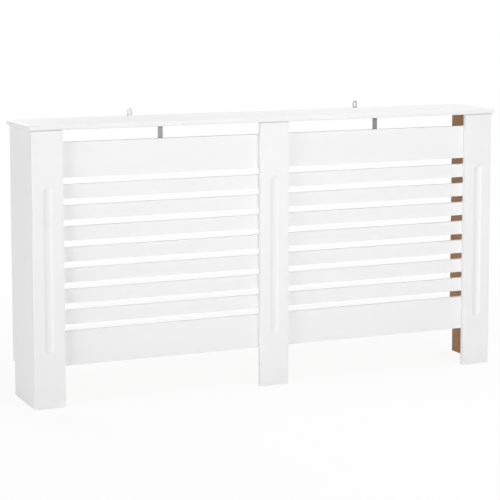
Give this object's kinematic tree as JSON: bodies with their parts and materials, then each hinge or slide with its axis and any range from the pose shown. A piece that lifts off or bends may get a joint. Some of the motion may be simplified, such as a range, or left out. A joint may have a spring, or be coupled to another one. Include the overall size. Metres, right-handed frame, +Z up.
{
  "type": "radiator cover cabinet",
  "caption": "Open-backed painted fibreboard cover that stands over a radiator: shelf top, slotted grille sheets behind fluted posts, steel wall hangers.",
  "frame": {"origin": "on the floor under the middle of the cover, hanger plates included", "axes": "+X towards the right end seen from the front, -Y out of the front, +Z up"},
  "size_m": [1.52, 0.2274, 0.8377],
  "materials": {
    "painted_board": "medium density fibreboard, satin white paint on the outer faces, bare brown on the inner faces",
    "bare_steel": "zinc plated strip steel, dull grey",
    "zinc_fastener": "bright zinc plated steel screws and bolts",
    "cam_alloy": "die-cast zinc alloy, dull",
    "beech": "plain beech"
  },
  "bodies": {
    "root": {"top_board": "painted_board", "side_panel_left": "painted_board", "side_panel_right": "painted_board", "corner_post_left": "painted_board", "corner_post_right": "painted_board", "centre_post": "painted_board", "grille_panel_left": "painted_board", "grille_panel_right": "painted_board", "top_strap_left": "bare_steel", "top_strap_right": "bare_steel", "wall_hanger_left": "bare_steel", "wall_hanger_right": "bare_steel", "centre_brace": "bare_steel", "strap_screw_left_rail_1": "zinc_fastener", "strap_screw_left_rail_2": "zinc_fastener", "strap_screw_left_top_1": "zinc_fastener", "strap_screw_left_top_2": "zinc_fastener", "strap_screw_right_rail_1": "zinc_fastener", "strap_screw_right_rail_2": "zinc_fastener", "strap_screw_right_top_1": "zinc_fastener", "strap_screw_right_top_2": "zinc_fastener", "hanger_screw_left_1": "zinc_fastener", "hanger_screw_left_2": "zinc_fastener", "hanger_screw_right_1": "zinc_fastener", "hanger_screw_right_2": "zinc_fastener", "brace_screw_post": "zinc_fastener", "brace_screw_top": "zinc_fastener", "grille_screw_left_outer_1": "zinc_fastener", "grille_screw_left_outer_2": "zinc_fastener", "grille_screw_left_inner_1": "zinc_fastener", "grille_screw_left_inner_2": "zinc_fastener", "grille_screw_right_outer_1": "zinc_fastener", "grille_screw_right_outer_2": "zinc_fastener", "grille_screw_right_inner_1": "zinc_fastener", "grille_screw_right_inner_2": "zinc_fastener", "post_dowel_left_1": "beech", "post_dowel_left_2": "beech", "post_dowel_right_1": "beech", "post_dowel_right_2": "beech", "top_dowel_left_1": "beech", "top_dowel_left_2": "beech", "top_dowel_right_1": "beech", "top_dowel_right_2": "beech", "cam_post_left_1": "cam_alloy", "cam_post_left_2": "cam_alloy", "cam_post_right_1": "cam_alloy", "cam_post_right_2": "cam_alloy", "cam_top_left": "cam_alloy", "cam_top_right": "cam_alloy", "cam_bolt_post_left_1": "zinc_fastener", "cam_bolt_post_left_2": "zinc_fastener", "cam_bolt_post_right_1": "zinc_fastener", "cam_bolt_post_right_2": "zinc_fastener", "cam_bolt_top_left": "zinc_fastener", "cam_bolt_top_right": "zinc_fastener"}
  },
  "joints": []
}
